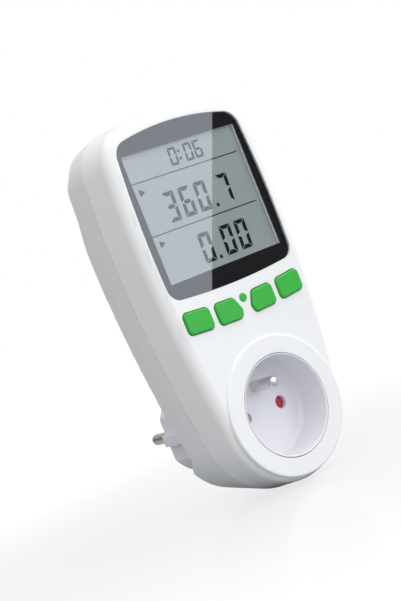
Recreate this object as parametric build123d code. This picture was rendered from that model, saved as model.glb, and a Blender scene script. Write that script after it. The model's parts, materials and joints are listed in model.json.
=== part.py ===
from build123d import *
import os
from math import atan2, degrees, hypot

os.makedirs("parts", exist_ok=True)

# Plug-in energy monitor: a socket on the front, a plug on the back and a display above.
# Millimetres. X is to the right, Y towards the wall and Z up. The origin is the centre of
# the plug's end face. Depths are measured back from the white front face.

# Standard plug and socket
pin_pitch = 19.0
pin_radius = 2.4
pin_length = 19.0
pin_tip = 2.2
pin_neck_radius = 2.2
pin_relief = 0.3
earth_offset = 10.0
earth_pin_length = 14.0
recess_radius = 19.6
recess_depth = 15.0
boss_radius = 18.6
earth_bore_radius = 2.65

# Case outline, at the parting line
case_half_width = 38.5
case_top = 124.9
socket_end_radius = 30.6
widest_height = 81.0
corner_radius = 17.2
crown_radius = 123.4

# Case depths and walls
case_depth = 62.0
parting_depth = 16.6
band_top_depth = 27.6
band_depth = 30.0
band_shoulder_depth = 28.4
band_low_depth = 24.2
band_base_depth = 34.0
band_crown_height = 100.0
band_notch_height = 70.0
band_shoulder_height = 66.0
band_low_height = 10.0
band_base_height = -8.0
band_end_height = -16.0
step_depth = 42.2
step_slope_drop = 3.0
step_slope_low = 80.0
step_slope_high = 96.0
wall = 2.2
front_wall = 2.3
front_draft = 1.5
rear_draft = 3.0
step_inset = 4.6
step_draft = 2.2
front_round = 4.5
rear_round = 1.2
reveal_width = 0.35
reveal_depth = 0.6
tongue_height = 2.4
tongue_wall = 1.1

# Clearances shared by the pieces
fit_gap = 0.1
slide_gap = 0.15
soft_gap = 0.3
overrun = 1.0

# Collar and socket insert
collar_raise = 0.9
collar_radius = 27.9
collar_round = 0.8
insert_radius = 20.2
insert_gap = 0.3
insert_body_radius = 20.9
insert_flange_radius = 22.8
insert_flange = 1.6
recess_draft = 0.5
recess_floor = 2.0
recess_floor_round = 2.0
lip_chamfer = 0.3
hole_radius = 2.6
hole_chamfer = 0.25

# Contact carrier, shutter and contacts behind the recess
carrier_radius = 20.6
carrier_depth = 6.4
shutter_thickness = 1.5
shutter_half_height = 4.6
shutter_half_length = 15.6
shutter_travel = 5.6
shutter_hole_radius = 2.6
shutter_tab_width = 3.0
shutter_tab_drop = 3.0
shutter_spring_radius = 1.2
shutter_spring_bore = 0.8
shutter_spring_length = 16.0
contact_radius = 3.6
contact_bore = 2.5
contact_length = 15.0
contact_slit = 0.8
earth_flange_radius = 3.6
earth_flange = 1.0
earth_tail_radius = 1.6
earth_tail = 5.0

# Display window, mask and liquid crystal cell
panel_top = 118.3
panel_bottom = 51.2
panel_side_margin = 5.9
panel_widest_height = 76.0
panel_side_radius = 430.0
panel_top_radius = 120.0
panel_bottom_radius = 300.0
panel_top_corner = 7.0
panel_bottom_corner = 5.5
window_recess = 0.15
window_thickness = 0.8
mask_thickness = 0.15
view_side_border = 4.0
view_bottom = 58.95
view_top = 109.9
cell_margin = 1.2
cell_thickness = 2.6
reflector_thickness = 0.3
frame_wall = 1.0
zebra_height = 0.8
zebra_margin = 0.2

# Display board and what it carries
board_thickness = 1.6
display_board_depth = 8.0
display_board_side_margin = 7.0
display_board_bottom = 33.0
display_board_top = 112.2
board_corner = 2.0
controller_size = 11.0
controller_thickness = 1.5
controller_height = 82.0
cell_radius = 5.8
cell_height = 3.4
cell_seat = 1.0
holder_wall = 1.0
battery_x = -18.0
battery_z = 99.0
header_width = 15.0
header_height = 2.6
header_thickness = 2.0
header_x = 14.0
display_header_z = 62.0
power_header_z = 70.0
ribbon_width = 13.0
ribbon_thickness = 0.9
ribbon_run = 5.0
ribbon_bend = 3.0

# Buttons
row_top = 45.9
row_height = 8.6
row_bend_radius = 280.0
outer_button_inside = 17.7
outer_button_margin = 8.4
middle_button_outside = 14.8
middle_button_top_inside = 4.9
middle_button_waist = 2.4
middle_button_low_inside = 3.6
middle_button_waist_rise = 3.0
button_corner = 1.9
button_proud = 1.1
button_round = 0.7
button_gap = 0.35
button_lip = 0.8
button_flange = 1.2
button_stem = 1.2
button_stem_radius = 1.8
button_travel = 0.8
reset_radius = 1.65
reset_height = 44.6
reset_proud = 0.5
reset_round = 0.3
reset_flange_radius = 2.4
reset_stem_radius = 1.1
reset_travel = 0.6
mat_thickness = 0.8
mat_edge_margin = 1.0
mat_bottom = 35.5
mat_top = 48.5
pad_radius = 2.3
pad_gap = 0.1

# Power board and what it carries
power_board_clearance = 1.4
power_board_side_margin = 7.9
power_board_bottom = 30.0
power_board_top = 108.0
board_post_radius = 2.6
board_post_edge = 4.0
board_post_low = 34.0
board_post_high = 104.0
capacitor_width = 18.0
capacitor_height = 9.0
capacitor_tall = 14.0
capacitor_x = 10.0
capacitor_z = 94.0
electrolytic_radius = 5.0
electrolytic_tall = 13.0
electrolytic_x = -12.0
electrolytic_z = 92.0
varistor_radius = 5.0
varistor_thickness = 4.0
varistor_x = -14.0
varistor_z = 76.0
varistor_lead = 2.0
varistor_lead_radius = 0.5
fuse_radius = 2.6
fuse_length = 12.0
fuse_x = 14.0
fuse_z = 48.0
chip_width = 10.0
chip_height = 6.0
chip_thickness = 1.7
chip_x = -6.0
chip_z = 58.0
crystal_width = 10.0
crystal_height = 3.6
crystal_thickness = 3.4
crystal_x = -14.0
crystal_z = 48.0
shunt_width = 3.0
shunt_span = 16.0
shunt_rise = 6.0
shunt_thickness = 1.0
shunt_x = 0.0
shunt_z = 40.0

# Screws
screw_head_radius = 2.2
screw_head = 1.6
screw_hole_radius = 1.65
screw_pilot_radius = 1.3
screw_thread = 10.0
screw_tip_gap = 1.5
screw_slot = 0.7
screw_slot_length = 3.0
screw_slot_depth = 0.8
post_radius = 2.6
post_end_depth = 22.0
tube_radius = 4.0
tube_floor = 2.4
upper_screw_z = 115.0
lower_screw_x = 22.0
lower_screw_z = 24.0
small_screw_radius = 1.1
small_head_radius = 2.0
small_head = 1.0
small_thread = 2.4
small_pilot_radius = 0.9

# Plug boss and what it holds
boss_wall = 2.2
boss_plate = 5.0
boss_flange_radius = 20.4
boss_flange = 2.0
boss_gap = 0.1
boss_end_round = 1.0
key_flat = 16.0
key_half_height = 10.0
key_rib = 4.7
pin_flange_radius = 3.6
pin_flange = 2.0
pin_tail_radius = 1.6
pin_tail = 6.0
tube_wall = 0.6
earth_tube_gap = 0.1
earth_tube_length = 14.0
earth_tube_end = 1.0
clip_width = 4.6
clip_thickness = 0.8
clip_groove = 1.4
clip_groove_length = 18.0
clip_length = 13.0
clip_foot = 3.8
wire_radius = 1.1
wire_bend = 4.0
wire_end_height = 36.0

# Widths that follow the case
panel_half_width = case_half_width - panel_side_margin
view_half_width = panel_half_width - view_side_border
display_board_half_width = case_half_width - display_board_side_margin
mat_half_width = display_board_half_width - mat_edge_margin
outer_button_outside = case_half_width - outer_button_margin
power_board_half_width = case_half_width - step_inset - power_board_side_margin
board_post_x = power_board_half_width - board_post_edge

# Depths that several pieces share
recess_floor_depth = recess_depth - collar_raise
insert_back_depth = recess_floor_depth + recess_floor
carrier_back_depth = insert_back_depth + carrier_depth
shutter_pocket_depth = insert_back_depth + shutter_thickness + 2 * slide_gap
mask_back_depth = window_recess + window_thickness + mask_thickness
cell_back_depth = front_wall + cell_thickness
display_board_back = display_board_depth + board_thickness
step_inside_depth = step_depth - wall
step_top_depth = step_depth - step_slope_drop
power_board_back = step_top_depth - wall - power_board_clearance
power_board_depth = power_board_back - board_thickness
boss_plate_depth = case_depth - boss_plate
tongue_inset = wall + fit_gap
screw_seat_depth = post_end_depth + tube_floor
small_tip_depth = power_board_back + small_thread
pin_places = [pin_pitch / 2, -pin_pitch / 2]
screw_places = [(0, upper_screw_z), (lower_screw_x, lower_screw_z), (-lower_screw_x, lower_screw_z)]
board_screw_places = [
    (side * board_post_x, height) for side in (1, -1) for height in (board_post_low, board_post_high)
]


def depth_plane(depth):
    """A plane at one depth, whose local x is +X and local y is +Z."""
    return Plane(origin=(0, depth - case_depth, 0), x_dir=(1, 0, 0), z_dir=(0, -1, 0))


def slab(shape, front, back):
    """Extrude a flat shape from one depth to another."""
    return extrude(depth_plane(back) * shape, amount=back - front)


def rod(radius, x, z, front, back):
    """A round bar along the depth."""
    return slab(Pos(x, z) * Circle(radius), front, back)


def block(width, height, x, z, front, back):
    """A rectangular bar along the depth."""
    return slab(Pos(x, z) * Rectangle(width, height), front, back)


def side_profile(points, half_width):
    """Extrude an outline of (depth, height) points evenly to both sides of the middle."""
    placed = [(depth - case_depth, height) for depth, height in points]
    face = make_face(Polyline(*placed, close=True))
    return extrude(Plane.YZ * face, amount=half_width, both=True)


def front_edges(shape):
    """The edges that lie furthest forward."""
    return shape.edges().group_by(Axis.Y)[0]


def back_edges(shape):
    """The edges that lie furthest back."""
    return shape.edges().group_by(Axis.Y)[-1]


def unit(start, end):
    """The direction from one point to another, with its length."""
    length = hypot(end[0] - start[0], end[1] - start[1])
    return (end[0] - start[0]) / length, (end[1] - start[1]) / length, length


def step_from(start, direction, length):
    """The point at a distance along a direction."""
    return start[0] + direction[0] * length, start[1] + direction[1] * length


def case_outline(inset):
    """The case's front outline of tangent arcs, drawn in evenly by the inset."""
    half = case_half_width - inset
    low = socket_end_radius - inset
    top = case_top - inset
    corner = corner_radius - inset
    crown = crown_radius - inset
    side = (half**2 + widest_height**2 - low**2) / (2 * (half - low))
    side_centre = (half - side, widest_height)
    crown_centre = (0, top - crown)

    # The corner circle touches the side arc and the crown arc from inside.
    along = unit(side_centre, crown_centre)
    to_side = side - corner
    to_crown = crown - corner
    reach = (to_side**2 - to_crown**2 + along[2] ** 2) / (2 * along[2])
    rise = (to_side**2 - reach**2) ** 0.5
    foot = step_from(side_centre, along, reach)
    corner_centre = step_from(foot, (-along[1], along[0]), rise)

    out = unit(side_centre, corner_centre)
    up = unit(crown_centre, corner_centre)
    middle = unit((0, 0), (out[0] + up[0], out[1] + up[1]))
    low_way = unit(side_centre, (0, 0))
    low_end = step_from((0, 0), low_way, low)
    corner_start = step_from(side_centre, out, side)
    corner_middle = step_from(corner_centre, middle, corner)
    corner_end = step_from(crown_centre, up, crown)

    arcs = [ThreePointArc(mirror_point(low_end), (0, -low), low_end)]
    for place in (lambda point: point, mirror_point):
        arcs.append(ThreePointArc(place(low_end), place((half, widest_height)), place(corner_start)))
        arcs.append(ThreePointArc(place(corner_start), place(corner_middle), place(corner_end)))
    arcs.append(ThreePointArc(corner_end, (0, top), mirror_point(corner_end)))
    return make_face(arcs)


def mirror_point(point):
    """The same point on the other side of the middle."""
    return -point[0], point[1]


def case_part(front, front_inset, back, back_inset):
    """A piece of the case between two depths, drafted evenly from one inset to the other."""
    span = back - front
    draft = degrees(atan2(abs(front_inset - back_inset), span))
    if front_inset > back_inset:
        return extrude(depth_plane(back) * case_outline(back_inset), amount=span, taper=draft)
    return extrude(depth_plane(front) * case_outline(front_inset), amount=span, dir=(0, 1, 0), taper=draft)


def panel_outline(inset):
    """The display window's outline, with bowed sides and rounded corners."""
    half = panel_half_width - inset
    top = panel_top - inset
    bottom = panel_bottom + inset
    reach_up = top - panel_widest_height
    reach_down = panel_widest_height - bottom
    high = half - reach_up**2 / (2 * panel_side_radius)
    low = half - reach_down**2 / (2 * panel_side_radius)
    shoulder = top - high**2 / (2 * panel_top_radius)
    foot = bottom + low**2 / (2 * panel_bottom_radius)
    arcs = [
        ThreePointArc((-low, foot), (0, bottom), (low, foot)),
        ThreePointArc((low, foot), (half, panel_widest_height), (high, shoulder)),
        ThreePointArc((high, shoulder), (0, top), (-high, shoulder)),
        ThreePointArc((-high, shoulder), (-half, panel_widest_height), (-low, foot)),
    ]
    sharp = make_face(arcs)
    corners = sharp.vertices().sort_by(Axis.Y)
    lower_rounded = fillet(corners[:2], panel_bottom_corner - inset)
    upper = lower_rounded.vertices().filter_by(lambda point: point.Y > shoulder - inset - fit_gap)
    return fillet(upper, panel_top_corner - inset)


def button_row_height(x):
    """How far the button row's bend lifts a point at this distance from the middle."""
    return x**2 / (2 * row_bend_radius)


def button_outline(side, middle):
    """The outline of one button on the left (-1) or the right (1) of the middle."""
    row_bottom = row_top - row_height
    if middle:
        inside = [
            (middle_button_top_inside, row_top),
            (middle_button_waist, row_bottom + middle_button_waist_rise),
            (middle_button_low_inside, row_bottom),
        ]
        outside = middle_button_outside
    else:
        inside = [(outer_button_inside, row_top), (outer_button_inside, row_bottom)]
        outside = outer_button_outside
    corners = inside + [(outside, row_bottom), (outside, row_top)]
    placed = [(side * x, z + button_row_height(x)) for x, z in corners]
    sharp = make_face(Polyline(*placed, close=True))
    return fillet(sharp.vertices(), button_corner)


def button_centre(side, middle):
    """The place of a button's stem."""
    if middle:
        x = (middle_button_waist + middle_button_outside) / 2
    else:
        x = (outer_button_inside + outer_button_outside) / 2
    return side * x, row_top - row_height / 2 + button_row_height(x)


button_kinds = {
    "far_left_button": (-1, False),
    "near_left_button": (-1, True),
    "near_right_button": (1, True),
    "far_right_button": (1, False),
}
button_stem_end = front_wall + fit_gap + button_flange + button_stem
pad_top_depth = button_stem_end + button_travel + pad_gap


def front_shell():
    """The front half of the case, with its window seat, button holes and socket collar."""
    outer = case_part(0, front_draft, parting_depth, 0)
    outer = fillet(front_edges(outer), front_round)
    collar = rod(collar_radius, 0, 0, -collar_raise, front_wall)
    outer += fillet(front_edges(collar), collar_round)
    inner = case_part(front_wall, front_draft + wall, parting_depth, wall)
    inner += slab(case_outline(wall), parting_depth - tongue_height - fit_gap, parting_depth + overrun)
    shell = outer - inner
    shell -= slab(panel_outline(0), -overrun, mask_back_depth)
    view_height = view_top - view_bottom
    view_middle = (view_top + view_bottom) / 2
    shell -= block(2 * view_half_width, view_height, 0, view_middle, 0, front_wall + overrun)
    shell -= rod(insert_radius + insert_gap, 0, 0, -collar_raise - overrun, front_wall + overrun)
    for side, middle in button_kinds.values():
        hole = offset(button_outline(side, middle), amount=button_gap)
        shell -= slab(hole, -overrun, front_wall + overrun)
    shell -= rod(reset_radius + fit_gap, 0, reset_height, -overrun, front_wall + overrun)
    for x, z in screw_places:
        shell += rod(post_radius, x, z, front_wall, post_end_depth)
        shell -= rod(screw_pilot_radius, x, z, post_end_depth - screw_thread, post_end_depth + overrun)
    return shell


def band_cut(skin):
    """What the rear edge of the side band leaves out: deep at the top, closing to nothing below."""
    return side_profile(
        [
            (band_top_depth - skin, case_top + overrun),
            (band_depth - skin, band_crown_height),
            (band_depth - skin, band_notch_height),
            (band_shoulder_depth - skin, band_shoulder_height),
            (band_low_depth - skin, band_low_height),
            (band_base_depth - skin, band_base_height - skin),
            (step_depth + overrun, band_end_height - skin),
            (step_depth + overrun, case_top + overrun),
        ],
        case_half_width + overrun,
    )


def rear_volume(skin):
    """The rear half of the case as a filled form, drawn in by a wall thickness."""
    back = step_depth - skin
    band_inset = rear_draft * (back - parting_depth) / (step_depth - parting_depth) + skin
    step_draw = step_draft * (back - parting_depth) / (step_depth - parting_depth)
    band = case_part(parting_depth, skin, back, band_inset)
    step = case_part(parting_depth, step_inset + skin, back, step_inset + step_draw + skin)
    slope = [
        (back, step_slope_low),
        (step_top_depth - skin, step_slope_high),
        (step_top_depth - skin, case_top + overrun),
        (step_depth + overrun, case_top + overrun),
        (step_depth + overrun, step_slope_low),
    ]
    if skin == 0:
        band = fillet(back_edges(band), rear_round)
        step = fillet(back_edges(step), rear_round)
    return band - band_cut(skin) + (step - side_profile(slope, case_half_width))


def rear_shell():
    """The rear half of the case, with its tongue, screw tubes and board posts."""
    outer = rear_volume(0)
    reveal = case_outline(0) - case_outline(reveal_depth)
    shell = outer - slab(reveal, parting_depth - overrun, parting_depth + reveal_width)
    shell -= rear_volume(wall)
    tongue = case_outline(tongue_inset) - case_outline(tongue_inset + tongue_wall)
    shell += slab(tongue, parting_depth - tongue_height, parting_depth + wall)
    for x, z in screw_places:
        shell += rod(tube_radius, x, z, post_end_depth, step_depth) & outer
        shell -= rod(screw_hole_radius, x, z, post_end_depth - overrun, step_depth)
        shell -= rod(screw_head_radius + soft_gap, x, z, screw_seat_depth, step_depth + overrun)
        shell -= rod(post_radius + fit_gap, x, z, 0, post_end_depth)
    for x, z in board_screw_places:
        shell += rod(board_post_radius, x, z, power_board_back, step_inside_depth) & outer
        shell -= rod(small_pilot_radius, x, z, power_board_back - overrun, small_tip_depth + fit_gap)
    shell -= rod(boss_radius + boss_gap, 0, 0, step_inside_depth - overrun, step_depth + overrun)
    return shell


def plug_boss():
    """The plug's round boss, with its keyed sides, earth hole and clip grooves."""
    boss = rod(boss_radius, 0, 0, step_inside_depth - boss_flange, case_depth)
    boss = fillet(back_edges(boss), boss_end_round)
    boss += rod(boss_flange_radius, 0, 0, step_inside_depth - boss_flange, step_inside_depth)
    key_height = key_half_height - key_rib / 2
    key_width = boss_radius - key_flat
    key_middle = key_rib / 2 + key_height / 2
    for side in (1, -1):
        for level in (1, -1):
            x = side * (key_flat + key_width)
            boss -= block(2 * key_width, key_height, x, level * key_middle, step_depth, case_depth + overrun)
    hollow = Circle(boss_radius - boss_wall) & Rectangle(2 * (key_flat - boss_wall), 2 * boss_radius)
    boss -= slab(hollow, step_inside_depth - boss_flange - overrun, boss_plate_depth)
    for x in pin_places:
        boss -= rod(pin_neck_radius + fit_gap, x, 0, 0, case_depth + overrun)
        boss -= rod(pin_radius + fit_gap, x, 0, case_depth - pin_relief, case_depth + overrun)
    boss -= rod(earth_bore_radius, 0, earth_offset, 0, case_depth + overrun)
    groove_width = clip_width + 2 * fit_gap
    groove_end = step_depth + clip_groove_length
    groove_z = boss_radius - clip_groove / 2
    slot_z = boss_radius - clip_groove - boss_wall / 2
    for level in (1, -1):
        boss -= block(groove_width, clip_groove, 0, level * groove_z, step_depth, groove_end)
        boss -= block(
            groove_width,
            boss_wall + 2 * clip_groove,
            0,
            level * slot_z,
            step_depth,
            step_depth + clip_thickness + 2 * fit_gap,
        )
    return boss


def plug_pin(x):
    """One plug pin, with its rounded tip outside and its flange and tail inside the boss."""
    tip = case_depth + pin_length
    pin = rod(pin_radius, x, 0, case_depth, tip)
    pin = fillet(back_edges(pin), pin_tip)
    pin += rod(pin_neck_radius, x, 0, boss_plate_depth, case_depth)
    pin += rod(pin_flange_radius, x, 0, boss_plate_depth - pin_flange, boss_plate_depth)
    tail_end = boss_plate_depth - pin_flange - pin_tail
    return pin + rod(pin_tail_radius, x, 0, tail_end, boss_plate_depth - pin_flange)


def rear_earth_tube():
    """The sleeve that takes the wall socket's earth pin, closed at its inner end."""
    bore = earth_bore_radius + earth_tube_gap
    front = boss_plate_depth - earth_tube_length
    tube = rod(bore + tube_wall, 0, earth_offset, front, boss_plate_depth)
    return tube - rod(bore, 0, earth_offset, front + earth_tube_end, boss_plate_depth + overrun)


def earth_clip(level):
    """A side earth spring: a strip in the boss's groove with a foot through its wall."""
    outer = boss_radius - clip_groove / 2 + clip_thickness / 2
    inner = outer - clip_thickness
    foot = inner - clip_foot
    front = step_depth + fit_gap
    points = [
        (front, outer),
        (front + clip_length, outer),
        (front + clip_length, inner),
        (front + clip_thickness, inner),
        (front + clip_thickness, foot),
        (front, foot),
    ]
    placed = [(depth, level * height) for depth, height in points]
    return side_profile(placed, clip_width / 2)


def wire(x):
    """A mains wire from a plug pin's tail up to the back of the power board."""
    start = boss_plate_depth - pin_flange - pin_tail
    level = power_board_back + wire_radius + fit_gap
    points = [
        (x, start - case_depth, 0),
        (x, level - case_depth, 0),
        (x, level - case_depth, wire_end_height),
    ]
    path = FilletPolyline(*points, radius=wire_bend)
    section = Plane(origin=path @ 0, z_dir=path % 0) * Circle(wire_radius)
    return sweep(section, path=path)


def socket_insert():
    """The round insert: a recess with a lip, a floor and three holes."""
    back = insert_back_depth
    body = rod(insert_radius, 0, 0, -collar_raise, front_wall)
    body += rod(insert_flange_radius, 0, 0, front_wall, front_wall + insert_flange)
    body += rod(insert_body_radius, 0, 0, front_wall, back)
    mouth = depth_plane(-collar_raise) * Circle(recess_radius)
    floor = depth_plane(recess_floor_depth) * Circle(recess_radius - recess_draft)
    recess = fillet(back_edges(loft([mouth, floor], ruled=True)), recess_floor_round)
    body -= recess
    lip = body.edges().filter_by(GeomType.CIRCLE).group_by(Axis.Y)[0].sort_by(SortBy.RADIUS)[0]
    body = chamfer(lip, lip_chamfer)
    for x in pin_places:
        body -= rod(hole_radius, x, 0, recess_floor_depth - overrun, back + overrun)
        wide = depth_plane(recess_floor_depth) * Pos(x, 0) * Circle(hole_radius + hole_chamfer)
        narrow = depth_plane(recess_floor_depth + hole_chamfer) * Pos(x, 0) * Circle(hole_radius)
        body -= loft([wide, narrow], ruled=True)
    body -= rod(pin_neck_radius + fit_gap, 0, earth_offset, recess_floor_depth - overrun, back + overrun)
    return body


def earth_pin():
    """The recess's earth pin, with a rounded tip, a neck in the floor and a flange behind it."""
    pin = rod(pin_radius, 0, earth_offset, recess_floor_depth - earth_pin_length, recess_floor_depth)
    pin = fillet(front_edges(pin), pin_tip)
    pin += rod(pin_neck_radius, 0, earth_offset, recess_floor_depth, insert_back_depth)
    pin += rod(earth_flange_radius, 0, earth_offset, insert_back_depth, insert_back_depth + earth_flange)
    return pin + rod(earth_tail_radius, 0, earth_offset, insert_back_depth, insert_back_depth + earth_tail)


def earth_rod():
    """The bar that joins the recess's earth pin to the rear earth sleeve."""
    front = insert_back_depth + earth_tail
    back = boss_plate_depth - earth_tube_length
    return rod(earth_tail_radius, 0, earth_offset, front, back)


def shutter_form(travel, grow):
    """The shutter's flat form, swept along a travel and grown by the room that it runs in."""
    left = -shutter_travel / 2 - shutter_half_length - grow
    length = 2 * shutter_half_length + travel + 2 * grow
    plate = Pos(left + length / 2, 0) * Rectangle(length, 2 * (shutter_half_height + grow))
    tab_length = shutter_tab_width + travel + 2 * grow
    tab_z = -shutter_half_height - shutter_tab_drop / 2
    tab = Pos(left + tab_length / 2, tab_z) * Rectangle(tab_length, shutter_tab_drop + 2 * grow)
    return plate + tab


def safety_shutter():
    """The red sliding shutter, which covers both live holes until it is pushed across."""
    front = insert_back_depth + slide_gap
    plate = shutter_form(0, 0)
    for x in pin_places:
        plate -= Pos(x - shutter_travel, 0) * Circle(shutter_hole_radius)
    return slab(plate, front, front + shutter_thickness)


def spring_place():
    """The start, end, height and depth of the shutter's spring."""
    start = shutter_tab_width - shutter_travel / 2 - shutter_half_length + fit_gap
    height = -shutter_half_height - shutter_spring_radius - 2 * soft_gap
    depth = insert_back_depth + soft_gap + shutter_spring_radius
    return start, start + shutter_spring_length, height, depth


def shutter_spring():
    """The shutter's return spring, as a sleeve of the coil's size along X."""
    start, end, height, depth = spring_place()
    base = Plane(origin=(start, depth - case_depth, height), z_dir=(1, 0, 0))
    ring = Circle(shutter_spring_radius) - Circle(shutter_spring_bore)
    return extrude(base * ring, amount=end - start)


def contact_carrier():
    """The moulding behind the recess, with the shutter's pocket and the contacts' seats."""
    carrier = rod(carrier_radius, 0, 0, insert_back_depth, carrier_back_depth)
    pocket = shutter_form(shutter_travel, slide_gap)
    start, end, height, depth = spring_place()
    spring_room = shutter_spring_radius + soft_gap
    track = Pos((start + end) / 2, height) * Rectangle(end - start + 2 * fit_gap, 2 * spring_room)
    carrier -= slab(pocket, insert_back_depth - overrun, shutter_pocket_depth)
    carrier -= slab(track, insert_back_depth - overrun, depth + spring_room)
    for x in pin_places:
        carrier -= rod(contact_radius + fit_gap, x, 0, shutter_pocket_depth, carrier_back_depth + overrun)
    earth_room = earth_flange_radius + fit_gap
    flange_end = insert_back_depth + earth_flange + fit_gap
    carrier -= rod(earth_room, 0, earth_offset, insert_back_depth - overrun, flange_end)
    carrier -= rod(earth_tail_radius + fit_gap, 0, earth_offset, 0, carrier_back_depth + overrun)
    return carrier


def socket_contact(x):
    """A slit sleeve that grips a plug pin behind the shutter."""
    front = shutter_pocket_depth + fit_gap
    contact = rod(contact_radius, x, 0, front, front + contact_length)
    contact -= rod(contact_bore, x, 0, front - overrun, front + contact_length + overrun)
    slit_height = contact_radius
    return contact - block(contact_slit, slit_height, x, slit_height, front - overrun, carrier_back_depth)


def display_window():
    """The clear window, seated in the front shell's pocket."""
    return slab(panel_outline(fit_gap), window_recess, window_recess + window_thickness)


def window_mask():
    """The dark printed border behind the window, open over the cell."""
    border = panel_outline(fit_gap)
    middle = (view_top + view_bottom) / 2
    border -= Pos(0, middle) * Rectangle(2 * view_half_width, view_top - view_bottom)
    return slab(border, window_recess + window_thickness, mask_back_depth)


def cell_block(margin, front, back):
    """A rectangular block behind the view, wider than it by a margin all round."""
    height = view_top - view_bottom + 2 * margin
    return block(2 * (view_half_width + margin), height, 0, (view_top + view_bottom) / 2, front, back)


def lcd_cell():
    """The liquid crystal cell, seated on the back of the front wall."""
    return cell_block(cell_margin, front_wall, cell_back_depth)


def lcd_reflector():
    """The sheet on the back of the cell, between the two contact strips."""
    margin = cell_margin - 2 * zebra_margin - zebra_height - zebra_margin
    return cell_block(margin, cell_back_depth, cell_back_depth + reflector_thickness)


def zebra_strip(level):
    """A rubber contact strip between the cell's edge and the display board."""
    middle = (view_top + view_bottom) / 2
    reach = (view_top - view_bottom) / 2 + cell_margin - zebra_margin - zebra_height / 2
    z = middle + level * reach
    return block(2 * view_half_width, zebra_height, 0, z, cell_back_depth, display_board_depth)


def lcd_frame():
    """The frame that holds the cell against the front wall and spaces the board from it."""
    inner = cell_margin + fit_gap
    outer = cell_block(inner + frame_wall, front_wall, display_board_depth)
    return outer - cell_block(inner, front_wall - overrun, display_board_depth + overrun)


def display_board():
    """The board behind the display and the buttons."""
    height = display_board_top - display_board_bottom
    middle = (display_board_top + display_board_bottom) / 2
    outline = Pos(0, middle) * RectangleRounded(2 * display_board_half_width, height, board_corner)
    return slab(outline, display_board_depth, display_board_back)


def keypad_mat():
    """The silicone mat with one pad under each button."""
    height = mat_top - mat_bottom
    base_front = display_board_depth - mat_thickness
    middle = (mat_top + mat_bottom) / 2
    mat = block(2 * mat_half_width, height, 0, middle, base_front, display_board_depth)
    for side, middle_row in button_kinds.values():
        x, z = button_centre(side, middle_row)
        mat += rod(pad_radius, x, z, pad_top_depth, base_front)
    return mat + rod(pad_radius, 0, reset_height, pad_top_depth, base_front)


def button(side, middle):
    """One green button: cap, retaining flange and stem."""
    outline = button_outline(side, middle)
    cap = slab(outline, -button_proud, front_wall + fit_gap)
    cap = fillet(front_edges(cap), button_round)
    flange_front = front_wall + fit_gap
    flange_back = flange_front + button_flange
    cap += slab(offset(outline, amount=button_lip), flange_front, flange_back)
    x, z = button_centre(side, middle)
    return cap + rod(button_stem_radius, x, z, flange_back, button_stem_end)


def reset_button():
    """The small round reset button."""
    flange_front = front_wall + fit_gap
    flange_back = flange_front + button_flange
    cap = rod(reset_radius, 0, reset_height, -reset_proud, flange_front)
    cap = fillet(front_edges(cap), reset_round)
    cap += rod(reset_flange_radius, 0, reset_height, flange_front, flange_back)
    return cap + rod(reset_stem_radius, 0, reset_height, flange_back, button_stem_end)


def display_controller():
    """The display's driver chip on the back of its board."""
    back = display_board_back + controller_thickness
    return block(controller_size, controller_size, 0, controller_height, display_board_back, back)


def battery_holder():
    """The round cup that holds the backup cell on the display board."""
    radius = cell_radius + fit_gap + holder_wall
    back = display_board_back + cell_seat + cell_height
    holder = rod(radius, battery_x, battery_z, display_board_back, back)
    pocket_front = display_board_back + cell_seat
    return holder - rod(cell_radius + fit_gap, battery_x, battery_z, pocket_front, back + overrun)


def backup_cell():
    """The coin cell that keeps the readings when the monitor is unplugged."""
    front = display_board_back + cell_seat
    return rod(cell_radius, battery_x, battery_z, front, front + cell_height)


def display_header():
    """The ribbon's connector on the display board."""
    back = display_board_back + header_thickness
    return block(header_width, header_height, header_x, display_header_z, display_board_back, back)


def power_header():
    """The ribbon's connector on the power board."""
    front = power_board_depth - header_thickness
    return block(header_width, header_height, header_x, power_header_z, front, power_board_depth)


def ribbon_cable():
    """The flat cable between the two boards, in a gentle double bend."""
    start = display_board_back + header_thickness
    end = power_board_depth - header_thickness
    points = [
        (start - case_depth, display_header_z),
        (start + ribbon_run - case_depth, display_header_z),
        (end - ribbon_run - case_depth, power_header_z),
        (end - case_depth, power_header_z),
    ]
    path = FilletPolyline(*points, radius=ribbon_bend)
    strip = Plane.YZ * trace(path, line_width=ribbon_thickness)
    cable = extrude(strip, amount=ribbon_width / 2, both=True)
    ends = side_profile(
        [
            (start, display_header_z - header_width),
            (end, display_header_z - header_width),
            (end, power_header_z + header_width),
            (start, power_header_z + header_width),
        ],
        ribbon_width,
    )
    return Pos(header_x, 0, 0) * (cable & ends)


def power_board():
    """The board that measures and supplies, on posts inside the rear shell."""
    height = power_board_top - power_board_bottom
    middle = (power_board_top + power_board_bottom) / 2
    outline = Pos(0, middle) * RectangleRounded(2 * power_board_half_width, height, board_corner)
    for x, z in board_screw_places:
        outline -= Pos(x, z) * Circle(small_screw_radius + fit_gap)
    return slab(outline, power_board_depth, power_board_back)


def film_capacitor():
    """The mains dropper capacitor."""
    front = power_board_depth - capacitor_tall
    return block(capacitor_width, capacitor_height, capacitor_x, capacitor_z, front, power_board_depth)


def electrolytic_capacitor():
    """The supply's smoothing capacitor."""
    front = power_board_depth - electrolytic_tall
    return rod(electrolytic_radius, electrolytic_x, electrolytic_z, front, power_board_depth)


def varistor():
    """The surge absorber: a disc that stands on two leads."""
    lead_end = power_board_depth - varistor_lead
    centre = (varistor_x, lead_end - varistor_radius - case_depth, varistor_z)
    disc = Plane(origin=centre, z_dir=(0, 0, 1)) * Circle(varistor_radius)
    body = extrude(disc, amount=varistor_thickness)
    for side in (1, -1):
        x = varistor_x + side * varistor_radius / 2
        z = varistor_z + varistor_thickness / 2
        body += rod(varistor_lead_radius, x, z, lead_end - varistor_radius, power_board_depth)
    return body


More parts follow.
